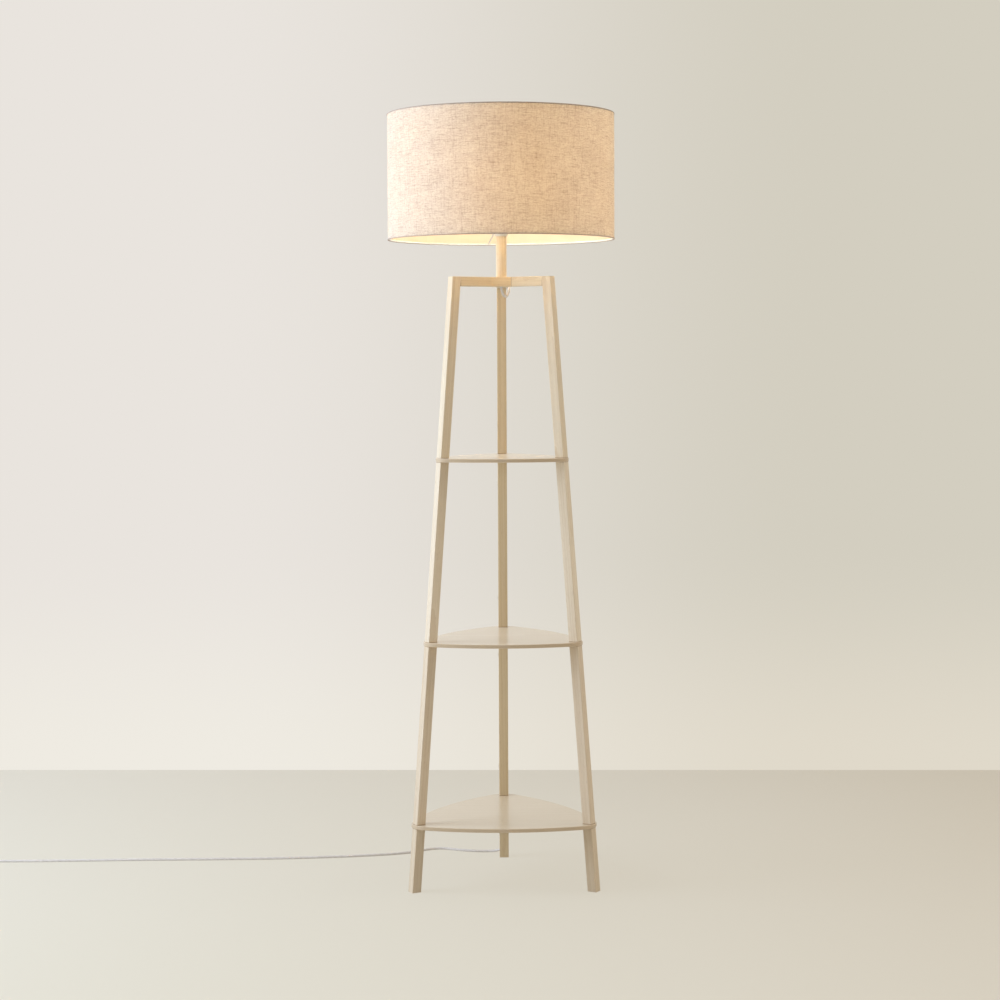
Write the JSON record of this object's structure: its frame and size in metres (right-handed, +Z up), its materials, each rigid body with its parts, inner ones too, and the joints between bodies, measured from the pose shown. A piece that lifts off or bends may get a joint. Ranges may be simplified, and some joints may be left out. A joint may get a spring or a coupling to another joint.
{
  "type": "shelf floor lamp",
  "caption": "Three-legged wooden floor lamp with rounded triangular shelves between splayed square legs and a linen drum shade on a short stem.",
  "frame": {"origin": "on the floor, on the lamp's vertical axis, midway between the three feet", "axes": "+Z up; +Y towards the rear leg; the front legs stand at 210 and 330 degrees from +X"},
  "size_m": [1.362, 0.4991, 1.5295],
  "materials": {
    "leg_wood": "pale hardwood, long straight grain, satin lacquer",
    "shelf_wood": "pale hardwood veneer, satin lacquer",
    "arm_wood": "pale hardwood, straight grain, satin lacquer",
    "hub_wood": "pale hardwood block, satin lacquer",
    "stem_wood": "turned pale hardwood, satin lacquer",
    "dowel_wood": "fluted beech dowel",
    "cap_wood": "wooden plug",
    "zinc_steel": "bright zinc plated steel",
    "brass": "machined brass",
    "blade_brass": "stamped brass",
    "white_plastic": "white moulded plastic",
    "phenolic": "black phenolic moulding",
    "knob_plastic": "black moulded turn-key",
    "shell_aluminium": "rolled aluminium screw shell",
    "frosted_glass": "inside frosted glass, lit warm white",
    "linen": "natural linen with slubs, woven",
    "shade_film": "white translucent liner bonded to the linen",
    "ring_wire": "white enamelled steel wire",
    "lead_sheath": "clear sheath over pale grey cores",
    "tie_plastic": "black hook-and-loop strap",
    "plug_plastic": "translucent moulded plug",
    "clip_plastic": "white moulded saddle clip"
  },
  "bodies": {
    "lamp": {"leg_left_foot": "leg_wood", "leg_left_lower": "leg_wood", "leg_left_middle": "leg_wood", "leg_left_upper": "leg_wood", "leg_right_foot": "leg_wood", "leg_right_lower": "leg_wood", "leg_right_middle": "leg_wood", "leg_right_upper": "leg_wood", "leg_rear_foot": "leg_wood", "leg_rear_lower": "leg_wood", "leg_rear_middle": "leg_wood", "leg_rear_upper": "leg_wood", "shelf_bottom": "shelf_wood", "shelf_middle": "shelf_wood", "shelf_top": "shelf_wood", "arm_left": "arm_wood", "arm_right": "arm_wood", "arm_rear": "arm_wood", "hub_block": "hub_wood", "stem": "stem_wood", "arm_dowels": "dowel_wood", "bolt_caps": "cap_wood", "leg_studs": "zinc_steel", "leg_inserts": "brass", "arm_bolts": "zinc_steel", "arm_barrel_nuts": "zinc_steel", "threaded_tube": "zinc_steel", "hub_nut": "zinc_steel", "hub_washer": "zinc_steel", "lead_bushing": "white_plastic", "holder_cap": "white_plastic", "holder_body": "white_plastic", "switch_block": "phenolic", "switch_bushing": "brass", "screw_shell": "shell_aluminium", "centre_contact": "brass", "shade_nut": "white_plastic", "bulb_glass": "frosted_glass", "bulb_cap": "shell_aluminium", "shade_cloth": "linen", "shade_liner": "shade_film", "shade_top_ring": "ring_wire", "shade_frame": "ring_wire", "lead_held": "lead_sheath", "lead_floor": "lead_sheath", "lead_coil": "lead_sheath", "coil_tie": "tie_plastic", "plug_body": "plug_plastic", "plug_blades": "blade_brass", "lead_clips": "clip_plastic", "clip_nails": "zinc_steel"},
    "switch_key": {"switch_shaft": "brass", "switch_knob": "knob_plastic"}
  },
  "joints": [
    {"name": "switch_turn", "type": "hinge", "parent": "lamp", "child": "switch_key", "pos_m": [0.0345, 0, 1.3081], "axis": [1, 0, 0], "continuous": true}
  ]
}
